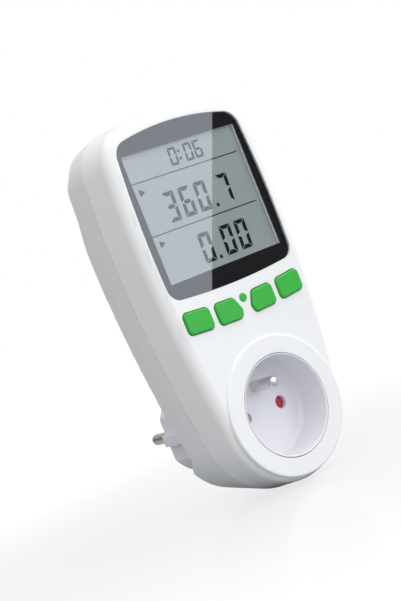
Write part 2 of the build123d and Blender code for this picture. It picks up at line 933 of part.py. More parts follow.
def fuse():
    """The board's fuse, lying along X."""
    centre = (fuse_x, power_board_depth - fuse_radius - case_depth, fuse_z)
    section = Plane(origin=centre, z_dir=(1, 0, 0)) * Circle(fuse_radius)
    return extrude(section, amount=fuse_length / 2, both=True)


def metering_chip():
    """The energy metering chip."""
    front = power_board_depth - chip_thickness
    return block(chip_width, chip_height, chip_x, chip_z, front, power_board_depth)


def crystal():
    """The metering chip's crystal."""
    front = power_board_depth - crystal_thickness
    outline = Pos(crystal_x, crystal_z) * SlotOverall(crystal_width, crystal_height)
    return slab(outline, front, power_board_depth)


def current_shunt():
    """The shunt: a metal bridge that stands on the power board."""
    top = power_board_depth - shunt_rise
    bridge = block(shunt_span, shunt_width, shunt_x, shunt_z, top, power_board_depth)
    inside = shunt_span - 2 * shunt_thickness
    room = block(inside, shunt_width + overrun, shunt_x, shunt_z, top + shunt_thickness, power_board_depth)
    return bridge - room


def housing_screws():
    """The screws that hold the rear shell on the front shell's posts."""
    screws = []
    for x, z in screw_places:
        tip = post_end_depth - screw_thread + screw_tip_gap
        screw = rod(screw_pilot_radius, x, z, tip, screw_seat_depth)
        screw += rod(screw_head_radius, x, z, screw_seat_depth, screw_seat_depth + screw_head)
        head_back = screw_seat_depth + screw_head
        slot_front = head_back - screw_slot_depth
        screw -= block(screw_slot_length, screw_slot, x, z, slot_front, head_back + overrun)
        screw -= block(screw_slot, screw_slot_length, x, z, slot_front, head_back + overrun)
        screws.append(screw)
    return Compound(children=screws)


def board_screws():
    """The screws that hold the power board on the rear shell's posts."""
    screws = []
    for x, z in board_screw_places:
        screw = rod(small_pilot_radius, x, z, power_board_depth, small_tip_depth)
        screw += rod(small_head_radius, x, z, power_board_depth - small_head, power_board_depth)
        screws.append(screw)
    return Compound(children=screws)


nodes = {
    "front_shell": front_shell(),
    "rear_shell": rear_shell(),
    "plug_boss": plug_boss(),
    "line_pin": plug_pin(pin_places[0]),
    "neutral_pin": plug_pin(pin_places[1]),
    "rear_earth_tube": rear_earth_tube(),
    "upper_earth_clip": earth_clip(1),
    "lower_earth_clip": earth_clip(-1),
    "line_wire": wire(pin_places[0]),
    "neutral_wire": wire(pin_places[1]),
    "socket_insert": socket_insert(),
    "earth_pin": earth_pin(),
    "earth_rod": earth_rod(),
    "safety_shutter": safety_shutter(),
    "shutter_spring": shutter_spring(),
    "contact_carrier": contact_carrier(),
    "line_contact": socket_contact(pin_places[0]),
    "neutral_contact": socket_contact(pin_places[1]),
    "display_window": display_window(),
    "window_mask": window_mask(),
    "lcd_cell": lcd_cell(),
    "lcd_reflector": lcd_reflector(),
    "upper_zebra_strip": zebra_strip(1),
    "lower_zebra_strip": zebra_strip(-1),
    "lcd_frame": lcd_frame(),
    "display_board": display_board(),
    "keypad_mat": keypad_mat(),
    "reset_button": reset_button(),
    "display_controller": display_controller(),
    "battery_holder": battery_holder(),
    "backup_cell": backup_cell(),
    "display_header": display_header(),
    "power_header": power_header(),
    "ribbon_cable": ribbon_cable(),
    "power_board": power_board(),
    "film_capacitor": film_capacitor(),
    "electrolytic_capacitor": electrolytic_capacitor(),
    "varistor": varistor(),
    "fuse": fuse(),
    "metering_chip": metering_chip(),
    "crystal": crystal(),
    "current_shunt": current_shunt(),
    "housing_screws": housing_screws(),
    "board_screws": board_screws(),
}
for name, (side, middle) in button_kinds.items():
    nodes[name] = button(side, middle)

for name, shape in nodes.items():
    export_step(shape, f"parts/{name}.step")
    box = shape.bounding_box()
    print(f"{name}: {len(shape.solids())} solid, volume {shape.volume:.1f}, {box.min} to {box.max}")
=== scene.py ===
"""A plug-in energy monitor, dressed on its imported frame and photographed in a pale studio.

The frame carries every solid. This script gives each solid its finish, adds the reading on the
display and the shutter's coil spring, and sets up the floor, the lights and the camera. Lengths are
metres, in the frame's axes: X right, Y back to the wall, Z up.
"""

from __future__ import annotations

import json
import logging
import math
from dataclasses import dataclass
from enum import Enum

import bpy
from mathutils import Matrix, Vector

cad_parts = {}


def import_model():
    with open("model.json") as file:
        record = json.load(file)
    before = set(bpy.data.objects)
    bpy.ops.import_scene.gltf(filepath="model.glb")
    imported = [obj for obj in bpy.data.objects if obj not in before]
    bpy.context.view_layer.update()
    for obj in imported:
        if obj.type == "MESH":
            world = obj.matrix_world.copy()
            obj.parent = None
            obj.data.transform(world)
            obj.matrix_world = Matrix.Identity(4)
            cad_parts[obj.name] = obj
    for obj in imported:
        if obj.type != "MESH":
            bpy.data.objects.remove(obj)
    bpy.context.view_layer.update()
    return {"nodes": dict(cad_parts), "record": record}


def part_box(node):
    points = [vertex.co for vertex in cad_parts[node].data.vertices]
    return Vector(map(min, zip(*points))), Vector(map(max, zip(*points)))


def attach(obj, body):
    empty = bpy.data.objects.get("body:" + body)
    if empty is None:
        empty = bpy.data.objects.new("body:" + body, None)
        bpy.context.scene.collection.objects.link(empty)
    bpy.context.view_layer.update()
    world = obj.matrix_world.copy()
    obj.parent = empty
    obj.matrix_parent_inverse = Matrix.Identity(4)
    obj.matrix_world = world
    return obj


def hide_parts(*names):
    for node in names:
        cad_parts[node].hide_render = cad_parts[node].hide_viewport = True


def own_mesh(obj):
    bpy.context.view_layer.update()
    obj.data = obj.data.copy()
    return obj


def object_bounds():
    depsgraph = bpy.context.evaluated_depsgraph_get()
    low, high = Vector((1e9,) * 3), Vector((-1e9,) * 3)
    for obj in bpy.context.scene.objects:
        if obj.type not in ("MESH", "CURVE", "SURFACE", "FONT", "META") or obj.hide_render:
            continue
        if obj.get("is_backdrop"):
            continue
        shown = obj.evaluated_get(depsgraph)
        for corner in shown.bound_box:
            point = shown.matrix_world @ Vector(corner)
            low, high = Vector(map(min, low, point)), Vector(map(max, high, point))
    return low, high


log = logging.getLogger("energy_monitor")

MM = 0.001
PLAIN_WHITE = "#FFFFFF"


class Body(Enum):
    """The frame's bodies that the added pieces ride on."""

    CASE = "case"


class Slot(Enum):
    """The record's finishes that the added pieces take theirs from."""

    BLACK_PRINT = "black_print"
    SPRING_STEEL = "spring_steel"


def linear(hex_colour: str) -> tuple[float, float, float, float]:
    """Turns an sRGB colour such as "#F5F6F5" into linear light.

    Args:
        hex_colour: The colour as # and six hexadecimal digits.

    Returns:
        Red, green, blue and an alpha of one.
    """
    channels = (int(hex_colour[start : start + 2], 16) / 255 for start in (1, 3, 5))
    light = [c / 12.92 if c <= 0.04045 else ((c + 0.055) / 1.055) ** 2.4 for c in channels]
    return light[0], light[1], light[2], 1.0


def add_node(
    tree: bpy.types.NodeTree,
    kind: str,
    settings: dict[str | int, object] | None = None,
    links: dict[str | int, bpy.types.NodeSocket] | None = None,
) -> bpy.types.Node:
    """Adds one shader node with its settings and incoming links.

    Args:
        tree: The node tree that the node joins.
        kind: The node's Blender type.
        settings: Values by input name or number, or by attribute where no input has that name.
        links: Output sockets by the name or number of the input that each one feeds.

    Returns:
        The new node.
    """
    node = tree.nodes.new(kind)
    for name, value in (settings or {}).items():
        if isinstance(name, int) or name in node.inputs:
            node.inputs[name].default_value = value
        else:
            setattr(node, name, value)
    for name, socket in (links or {}).items():
        tree.links.new(socket, node.inputs[name])
    return node


def new_material(name: str) -> tuple[bpy.types.Material, bpy.types.NodeTree]:
    """Makes an empty node material and returns it with its tree."""
    material = bpy.data.materials.new(name)
    material.use_nodes = True
    material.node_tree.nodes.clear()
    return material, material.node_tree


@dataclass(frozen=True)
class Moulded:
    """A moulded, printed or dipped finish: one colour with a fine uneven skin.

    Attributes:
        name: The real material's name.
        colour: Its sRGB colour.
        roughness: How dull the skin is, from 0 to 1.
        ior: The material's index of refraction.
        grain: Size of the skin's unevenness, in metres.
        relief: Height of that unevenness, in metres.
        shade_share: How much the colour varies over the surface.
        octaves: How many finer layers the unevenness has.
        press: How strongly the unevenness turns the surface.
    """

    name: str
    colour: str
    roughness: float
    ior: float = 1.5
    grain: float = 0.6 * MM
    relief: float = 0.002 * MM
    shade_share: float = 0.02
    octaves: float = 3.0
    press: float = 0.6

    def build(self) -> bpy.types.Material:
        """Makes the material's shader."""
        material, tree = new_material(self.name)
        place = add_node(tree, "ShaderNodeTexCoord")
        grain = add_node(
            tree,
            "ShaderNodeTexNoise",
            {"Scale": 1 / self.grain, "Detail": self.octaves},
            {"Vector": place.outputs["Object"]},
        )
        red, green, blue, alpha = linear(self.colour)
        dark = 1 - self.shade_share
        tint = add_node(tree, "ShaderNodeMix", {"data_type": "RGBA"}, {"Factor": grain.outputs["Fac"]})
        colour_inputs = [socket for socket in tint.inputs if socket.type == "RGBA"]
        colour_inputs[0].default_value = (red * dark, green * dark, blue * dark, alpha)
        colour_inputs[1].default_value = (red, green, blue, alpha)
        mixed = next(socket for socket in tint.outputs if socket.type == "RGBA")
        bump = add_node(
            tree,
            "ShaderNodeBump",
            {"Distance": self.relief, "Strength": self.press},
            {"Height": grain.outputs["Fac"]},
        )
        shader = add_node(
            tree,
            "ShaderNodeBsdfPrincipled",
            {"Roughness": self.roughness, "IOR": self.ior},
            {"Base Color": mixed, "Normal": bump.outputs["Normal"]},
        )
        add_node(tree, "ShaderNodeOutputMaterial", links={"Surface": shader.outputs["BSDF"]})
        return material


@dataclass(frozen=True)
class DrawnMetal:
    """A plated or drawn metal, with fine lines along the depth of the case.

    Attributes:
        name: The real metal's name.
        colour: Its sRGB colour.
        smooth: Roughness along a line.
        worn: Roughness between the lines.
        line: Width of a line, in metres.
        run: How much longer than wide the lines are.
        octaves: How many finer layers the lines have.
    """

    name: str
    colour: str
    smooth: float
    worn: float
    line: float = 0.25 * MM
    run: float = 30.0
    octaves: float = 2.0

    def build(self) -> bpy.types.Material:
        """Makes the material's shader."""
        material, tree = new_material(self.name)
        place = add_node(tree, "ShaderNodeTexCoord")
        stretch = add_node(
            tree,
            "ShaderNodeMapping",
            {"Scale": (1.0, 1 / self.run, 1.0)},
            {"Vector": place.outputs["Object"]},
        )
        lines = add_node(
            tree,
            "ShaderNodeTexNoise",
            {"Scale": 1 / self.line, "Detail": self.octaves},
            {"Vector": stretch.outputs["Vector"]},
        )
        dull = add_node(
            tree,
            "ShaderNodeMapRange",
            {"To Min": self.smooth, "To Max": self.worn},
            {"Value": lines.outputs["Fac"]},
        )
        shader = add_node(
            tree,
            "ShaderNodeBsdfPrincipled",
            {"Base Color": linear(self.colour), "Metallic": 1.0},
            {"Roughness": dull.outputs["Result"]},
        )
        add_node(tree, "ShaderNodeOutputMaterial", links={"Surface": shader.outputs["BSDF"]})
        return material


@dataclass(frozen=True)
class ClearSheet:
    """A thin clear sheet that shows what is behind it and mirrors the room off its front by its angle.

    Attributes:
        name: The real material's name.
        ior: The sheet's index of refraction.
        roughness: How dull its mirror is.
        tint: The sRGB colour of the light that it lets through.
    """

    name: str
    ior: float
    roughness: float
    tint: str

    def build(self) -> bpy.types.Material:
        """Makes the material's shader."""
        material, tree = new_material(self.name)
        through = add_node(tree, "ShaderNodeBsdfTransparent", {"Color": linear(self.tint)})
        mirror = add_node(tree, "ShaderNodeBsdfGlossy", {"Roughness": self.roughness})
        angle = add_node(tree, "ShaderNodeFresnel", {"IOR": self.ior})
        side = add_node(tree, "ShaderNodeNewGeometry")
        front = add_node(
            tree,
            "ShaderNodeMapRange",
            {"To Min": 1.0, "To Max": 0.0},
            {"Value": side.outputs["Backfacing"]},
        )
        share = add_node(
            tree,
            "ShaderNodeMath",
            {"operation": "MULTIPLY"},
            {0: angle.outputs["Fac"], 1: front.outputs["Result"]},
        )
        both = add_node(
            tree,
            "ShaderNodeMixShader",
            links={0: share.outputs["Value"], 1: through.outputs["BSDF"], 2: mirror.outputs["BSDF"]},
        )
        add_node(tree, "ShaderNodeOutputMaterial", links={"Surface": both.outputs["Shader"]})
        return material


@dataclass(frozen=True)
class PaleFloor:
    """A smooth studio floor that the lens sees as white away from the object, and that lights it little.

    Attributes:
        name: The finish's name.
        colour: Its sRGB colour.
        roughness: How dull it is.
        near_lift: How much of what the lens sees is plain white under the object.
        near: How far from the object's axis that share starts to grow.
        far: Where everything that the lens sees is plain white.
        glow: Strength of that white, a little over one so that its far edge can't show.
    """

    name: str = "studio_floor"
    colour: str = "#A6AAB0"
    roughness: float = 0.14
    near_lift: float = 0.72
    near: float = 0.05
    far: float = 0.32
    glow: float = 1.06

    def build(self) -> bpy.types.Material:
        """Makes the material's shader."""
        material, tree = new_material(self.name)
        skin = add_node(
            tree,
            "ShaderNodeBsdfPrincipled",
            {"Base Color": linear(self.colour), "Roughness": self.roughness},
        )
        white = add_node(
            tree, "ShaderNodeEmission", {"Color": linear(PLAIN_WHITE), "Strength": self.glow}
        )
        path = add_node(tree, "ShaderNodeLightPath")
        place = add_node(tree, "ShaderNodeTexCoord")
        reach = add_node(
            tree, "ShaderNodeVectorMath", {"operation": "LENGTH"}, {0: place.outputs["Object"]}
        )
        lift = add_node(
            tree,
            "ShaderNodeMapRange",
            {
                "interpolation_type": "SMOOTHSTEP",
                "From Min": self.near,
                "From Max": self.far,
                "To Min": self.near_lift,
                "To Max": 1.0,
            },
            {"Value": reach.outputs["Value"]},
        )
        share = add_node(
            tree,
            "ShaderNodeMath",
            {"operation": "MULTIPLY"},
            {0: path.outputs["Is Camera Ray"], 1: lift.outputs["Result"]},
        )
        both = add_node(
            tree,
            "ShaderNodeMixShader",
            links={0: share.outputs["Value"], 1: skin.outputs["BSDF"], 2: white.outputs["Emission"]},
        )
        add_node(tree, "ShaderNodeOutputMaterial", links={"Surface": both.outputs["Shader"]})
        return material


# White ABS, moulded in a polished tool, so it has a soft gloss: the case and the cell's frame.
WHITE_ABS = Moulded("white_abs", "#F4F5F6", 0.22, 1.53, grain=0.9 * MM)
# Nylon with a satin skin, duller than the case: the cup and the plug's boss. Its colour is a touch bluer and
# darker than the case's white, which is painted shade standing for the shade that falls in the cup and on
# the boss.
NYLON_WITH_PAINTED_SHADE = Moulded("white_nylon", "#ECECF2", 0.34, 1.53, grain=0.7 * MM)
# Green ABS with a finely sparked skin, so its gloss is broad: the buttons.
GREEN_ABS = Moulded("green_abs", "#2AB432", 0.36, 1.53, grain=0.5 * MM, relief=0.004 * MM)
# Red acetal, waxy and smooth: the shutter behind the holes.
RED_ACETAL = Moulded("red_acetal", "#C23A5C", 0.35, 1.48)
# Black ink without a gloss of its own: the window's border, and the segments that the cell shows.
BLACK_PRINT = Moulded("black_print", "#1B191E", 0.7, 1.1, relief=0.0)
# Liquid crystal cell under a satin polariser, grey with a little green where it is off.
LIQUID_CRYSTAL = Moulded("liquid_crystal", "#A2ABAC", 0.3, 1.4, grain=6.0 * MM, relief=0.0)
# Brushed metal film behind the cell.
REFLECTOR_FILM = Moulded("reflector_film", "#C9CCCC", 0.4, 1.5)
# Silicone and carbon rubber, dull: the keypad mat and the contact strips.
GREY_RUBBER = Moulded("grey_rubber", "#8C8D8F", 0.65, 1.43)
# Glass epoxy board under green solder mask.
CIRCUIT_BOARD = Moulded("circuit_board", "#1F7A3C", 0.4, 1.55, grain=0.8 * MM, shade_share=0.12)
# Black moulded epoxy: chips, cell holder, capacitor sleeve.
BLACK_EPOXY = Moulded("black_epoxy", "#232324", 0.55, 1.55)
# Potted and dipped parts of the power board, and the cream nylon of its small parts.
YELLOW_CASE = Moulded("yellow_case", "#E0BB3A", 0.4, 1.5)
BLUE_EPOXY = Moulded("blue_epoxy", "#2A60B0", 0.3, 1.55)
BROWN_EPOXY = Moulded("brown_epoxy", "#8A5A36", 0.35, 1.55)
CREAM_NYLON = Moulded("cream_nylon", "#E8E2CC", 0.45, 1.53)
# Vinyl over copper: the ribbon and the two mains wires.
GREY_RIBBON = Moulded("grey_ribbon", "#B4B7BA", 0.5, 1.53)
BROWN_INSULATION = Moulded("brown_insulation", "#7A4B2C", 0.4, 1.53)
BLUE_INSULATION = Moulded("blue_insulation", "#2F66C0", 0.4, 1.53)
# Polished acrylic window: the index is raised so that its one mirror stands for both its faces.
CLEAR_ACRYLIC = ClearSheet("clear_acrylic", 1.9, 0.012, "#FBFCFC")
# Nickel over brass: the plug pins and the cup's earth pin.
NICKEL_BRASS = DrawnMetal("nickel_brass", "#DCD8D4", 0.06, 0.16)
# Bare brass: the contact sleeves, earth rod and earth tube.
BARE_BRASS = DrawnMetal("bare_brass", "#D4B36A", 0.2, 0.4)
# Tempered steel strip: the side earth clips and the shutter's spring.
SPRING_STEEL = DrawnMetal("spring_steel", "#BEBFC1", 0.18, 0.36)
# Zinc plated steel: screws, backup cell and crystal can.
BRIGHT_STEEL = DrawnMetal("bright_steel", "#CBCBCD", 0.16, 0.32)
# Copper manganese alloy of the shunt.
SHUNT_ALLOY = DrawnMetal("shunt_alloy", "#B9A391", 0.25, 0.4)

FINISHES = (
    WHITE_ABS,
    NYLON_WITH_PAINTED_SHADE,
    GREEN_ABS,
    RED_ACETAL,
    BLACK_PRINT,
    LIQUID_CRYSTAL,
    REFLECTOR_FILM,
    GREY_RUBBER,
    CIRCUIT_BOARD,
    BLACK_EPOXY,
    YELLOW_CASE,
    BLUE_EPOXY,
    BROWN_EPOXY,
    CREAM_NYLON,
    GREY_RIBBON,
    BROWN_INSULATION,
    BLUE_INSULATION,
    CLEAR_ACRYLIC,
    NICKEL_BRASS,
    BARE_BRASS,
    SPRING_STEEL,
    BRIGHT_STEEL,
    SHUNT_ALLOY,
)


def plate_piece(
    name: str, outlines: list[list[tuple[float, float]]], front: float, thickness: float
) -> bpy.types.Object:
    """Makes one piece of flat plates that stand upright, facing the front.

    Args:
        name: The piece's name.
        outlines: Each plate's outline as (x, z) points.
        front: The y of the plates' front faces.
        thickness: How thick the plates are.

    Returns:
        The new object, with its place in its mesh.
    """
    points: list[tuple[float, float, float]] = []
    faces: list[list[int]] = []
    for outline in outlines:
        first = len(points)
        count = len(outline)
        points += [(x, front, z) for x, z in outline]
        points += [(x, front + thickness, z) for x, z in outline]
        faces.append([first + step for step in range(count)])
        faces.append([first + count + step for step in reversed(range(count))])
        for step in range(count):
            after = (step + 1) % count
            faces.append([first + step, first + count + step, first + count + after, first + after])
    mesh = bpy.data.meshes.new(name)
    mesh.from_pydata(points, [], faces)
    mesh.validate()
    piece = bpy.data.objects.new(name, mesh)
    bpy.context.scene.collection.objects.link(piece)
    return piece


def rectangle(left: float, right: float, foot: float, top: float) -> list[tuple[float, float]]:
    """Gives an upright rectangle's corners as (x, z) points."""
    return [(left, foot), (right, foot), (right, top), (left, top)]


@dataclass(frozen=True)
class DigitForm:
    """A seven-segment digit's sizes.

    Attributes:
        width: From the left edge to the right edge.
        height: From the foot to the top.
        stroke: How wide a segment is.
        gap: Half the gap between two segments.
        lean: How far the top leans right, as a share of the height.
    """

    width: float
    height: float
    stroke: float
    gap: float = 0.14 * MM
    lean: float = 0.045

    def segments(self) -> dict[str, list[tuple[float, float]]]:
        """Works out the seven segments' outlines, from the digit's lower left corner."""
        width, height, stroke, gap = self.width, self.height, self.stroke, self.gap
        middle = height / 2
        half = stroke / 2
        top = [
            (gap, height),
            (width - gap, height),
            (width - stroke - gap, height - stroke),
            (stroke + gap, height - stroke),
        ]
        upper_left = [
            (0.0, height - gap),
            (stroke, height - stroke - gap),
            (stroke, middle + half + gap),
            (0.0, middle + gap),
        ]
        bar = [
            (half + gap, middle),
            (stroke + gap, middle + half),
            (width - stroke - gap, middle + half),
            (width - half - gap, middle),
            (width - stroke - gap, middle - half),
            (stroke + gap, middle - half),
        ]
        return {
            "top": top,
            "foot": [(x, height - z) for x, z in top],
            "upper_left": upper_left,
            "upper_right": [(width - x, z) for x, z in upper_left],
            "lower_left": [(x, height - z) for x, z in upper_left],
            "lower_right": [(width - x, height - z) for x, z in upper_left],
            "bar": bar,
        }


RING = ("top", "foot", "upper_left", "upper_right", "lower_left", "lower_right")
LIT = {
    "0": RING,
    "3": ("top", "upper_right", "bar", "lower_right", "foot"),
    "6": ("top", "upper_left", "bar", "lower_left", "lower_right", "foot"),
    "7": ("top", "upper_right", "lower_right"),
}


@dataclass(frozen=True)
class Reading:
    """One row of the display.

    Attributes:
        name: The piece's name.
        form: The digits' form.
        foot: Height of the digits' feet.
        digits: Each digit with the x of its left edge.
        dots: Centres of the square dots.
        dot: A dot's width.
    """

    name: str
    form: DigitForm
    foot: float
    digits: tuple[tuple[str, float], ...]
    dots: tuple[tuple[float, float], ...]
    dot: float

    def outlines(self) -> list[list[tuple[float, float]]]:
        """Works out every lit segment and dot of the row."""
        found = []
        segments = self.form.segments()
        for digit, left in self.digits:
            for name in LIT[digit]:
                leaning = [(left + x + self.form.lean * z, self.foot + z) for x, z in segments[name]]
                found.append(leaning)
        half = self.dot / 2
        for x, z in self.dots:
            found.append(rectangle(x - half, x + half, z - half, z + half))
        return found


SMALL_DIGIT = DigitForm(width=3.9 * MM, height=7.1 * MM, stroke=0.95 * MM, gap=0.12 * MM)
LARGE_DIGIT = DigitForm(width=5.7 * MM, height=11.8 * MM, stroke=1.6 * MM, gap=0.2 * MM)

TIME_ROW = Reading(
    "time_reading",
    SMALL_DIGIT,
    foot=101.2 * MM,
    digits=(("0", -6.4 * MM), ("0", 1.4 * MM), ("6", 6.2 * MM)),
    dots=((-1.2 * MM, 103.2 * MM), (-1.0 * MM, 106.1 * MM)),
    dot=1.1 * MM,
)
POWER_ROW = Reading(
    "power_reading",
    LARGE_DIGIT,
    foot=80.8 * MM,
    digits=(("3", -17.0 * MM), ("6", -9.0 * MM), ("0", -1.2 * MM), ("7", 10.6 * MM)),
    dots=((7.5 * MM, 81.5 * MM),),
    dot=1.3 * MM,
)
COST_ROW = Reading(
    "cost_reading",
    LARGE_DIGIT,
    foot=61.6 * MM,
    digits=(("0", -8.4 * MM), ("0", 2.8 * MM), ("0", 10.6 * MM)),
    dots=((-0.5 * MM, 62.3 * MM),),
    dot=1.3 * MM,
)


@dataclass(frozen=True)
class DisplayPrint:
    """What the liquid crystal shows: three readings, two rules and two plain pointers.

    Attributes:
        rule_heights: The heights of the two rules.
        rule_width: How thick a rule's line is.
        rule_margin: How far a rule stops short of the cell's view on the right.
        pointer_heights: The heights of the row pointers at the left edge.
        pointer: A pointer's length.
        lift: How far the print stands before the cell's face.
    """

    rule_heights: tuple[float, ...] = (99.1 * MM, 78.1 * MM)
    rule_width: float = 0.42 * MM
    rule_margin: float = 2.0 * MM
    pointer_heights: tuple[float, ...] = (95.2 * MM, 74.6 * MM)
    pointer: float = 2.8 * MM
    lift: float = 0.05 * MM

    def rules(self) -> list[list[tuple[float, float]]]:
        """Works out the two lines that part the rows."""
        low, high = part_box("lcd_reflector")
        half = self.rule_width / 2
        right = high.x - self.rule_margin
        return [rectangle(low.x, right, z - half, z + half) for z in self.rule_heights]

    def pointers(self) -> list[list[tuple[float, float]]]:
        """Works out the small triangles that point at the rows."""
        low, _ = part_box("lcd_reflector")
        left = low.x + self.pointer
        half = self.pointer / 2
        return [[(left, z - half), (left + self.pointer, z), (left, z + half)] for z in self.pointer_heights]

    def build(self, ink: bpy.types.Material) -> list[bpy.types.Object]:
        """Makes the readings, rules and pointers on the front of the cell.

        Args:
            ink: The material of a switched-on segment.

        Returns:
            The pieces.
        """
        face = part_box("lcd_cell")[0].y
        forms = {row.name: row.outlines() for row in (TIME_ROW, POWER_ROW, COST_ROW)}
        forms["display_rules"] = self.rules()
        forms["row_pointers"] = self.pointers()
        pieces = []
        for name, outlines in forms.items():
            piece = plate_piece(name, outlines, face - self.lift, self.lift)
            piece.data.materials.append(ink)
            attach(piece, Body.CASE.value)
            pieces.append(piece)
            log.info("built %s", name)
        return pieces


@dataclass(frozen=True)
class CoilSpring:
    """The shutter's return spring, wound in the place of its plain sleeve.

    Attributes:
        turns: How many turns it has.
        wire: The wire's diameter.
        points_per_turn: How finely the winding is drawn.
        travel: How far the shutter pushes the spring's left end in; not used.
    """

    turns: int = 14
    wire: float = 0.3 * MM
    points_per_turn: int = 14
    travel: float = 5.6 * MM

    def build(self, steel: bpy.types.Material) -> bpy.types.Object:
        """Winds the spring along X inside the sleeve's box, held at its right end."""
        low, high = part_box("shutter_spring")
        centre = (low + high) / 2
        radius = (high.z - low.z) / 2 - self.wire
        curve = bpy.data.curves.new("coil_spring", "CURVE")
        curve.dimensions = "3D"
        curve.bevel_depth = self.wire / 2
        line = curve.splines.new("POLY")
        count = self.turns * self.points_per_turn
        line.points.add(count)
        length = high.x - low.x - self.wire
        for step in range(count + 1):
            turn = Matrix.Rotation(math.tau * step / self.points_per_turn, 3, "X")
            spoke = turn @ Vector((0.0, 0.0, radius))
            along = low.x + self.wire / 2 + length * step / count
            line.points[step].co = (along, centre.y + spoke.y, centre.z + spoke.z, 1.0)
        winding = bpy.data.objects.new("winding", curve)
        spring = bpy.data.objects.new("coil_spring", bpy.data.meshes.new_from_object(winding))
        bpy.data.objects.remove(winding)
        bpy.context.scene.collection.objects.link(spring)
        spring.data.materials.clear()
        spring.data.materials.append(steel)
        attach(spring, Body.CASE.value)
        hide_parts("shutter_spring")
        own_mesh(spring)
        log.info("built coil_spring")
        return spring


@dataclass(frozen=True)
class LightPanel:
    """A soft flat light.

    Attributes:
        name: What it is in the studio.
        centre: Its middle.
        across: Direction of its width.
        along: Direction of its height.
        width: Its width.
        height: Its height.
        radiance: How bright its face is, where white paper in full light is about one.
        colour: Its sRGB colour.
    """

    name: str
    centre: Vector
    across: Vector
    along: Vector
    width: float
    height: float
    radiance: float
    colour: str

    def build(self) -> bpy.types.Object:
        """Makes the light, whose face looks against across times along."""
        light = bpy.data.lights.new(self.name, "AREA")
        light.shape = "RECTANGLE"
        light.size = self.width
        light.size_y = self.height
        light.energy = self.radiance * math.pi * self.width * self.height
        light.color = linear(self.colour)[:3]
        across = self.across.normalized()
        outward = across.cross(self.along).normalized()
        along = outward.cross(across)
        turn = Matrix((across, along, outward)).transposed()
        panel = bpy.data.objects.new(self.name, light)
        panel.matrix_world = Matrix.Translation(self.centre) @ turn.to_4x4()
        bpy.context.scene.collection.objects.link(panel)
        return panel


@dataclass(frozen=True)
class ViewPoint:
    """The camera that matches the photograph's view.

    Attributes:
        place: Where the lens is.
        right: The direction of the picture's right side.
        up: The direction of the picture's top.
        lens: The focal length, in millimetres.
        sensor: The sensor's long side, in millimetres.
        nearest: How near to the lens a thing can be drawn.
    """

    place: Vector = Vector((-0.30996, -0.45088, 0.0568))
    right: Vector = Vector((0.7405058, -0.5599596, -0.3716133))
    up: Vector = Vector((0.3059155, -0.2114899, 0.9282714))
    lens: float = 77.45
    sensor: float = 36.0
    nearest: float = 10.0 * MM

    def build(self) -> bpy.types.Object:
        """Makes the camera and gives it to the scene."""
        camera = bpy.data.cameras.new("camera")
        camera.lens = self.lens
        camera.sensor_width = self.sensor
        camera.clip_start = self.nearest
        turn = Matrix((self.right, self.up, self.right.cross(self.up))).transposed()
        holder = bpy.data.objects.new("camera", camera)
        holder.matrix_world = Matrix.Translation(self.place) @ turn.to_4x4()
        bpy.context.scene.collection.objects.link(holder)
        bpy.context.scene.camera = holder
        return holder


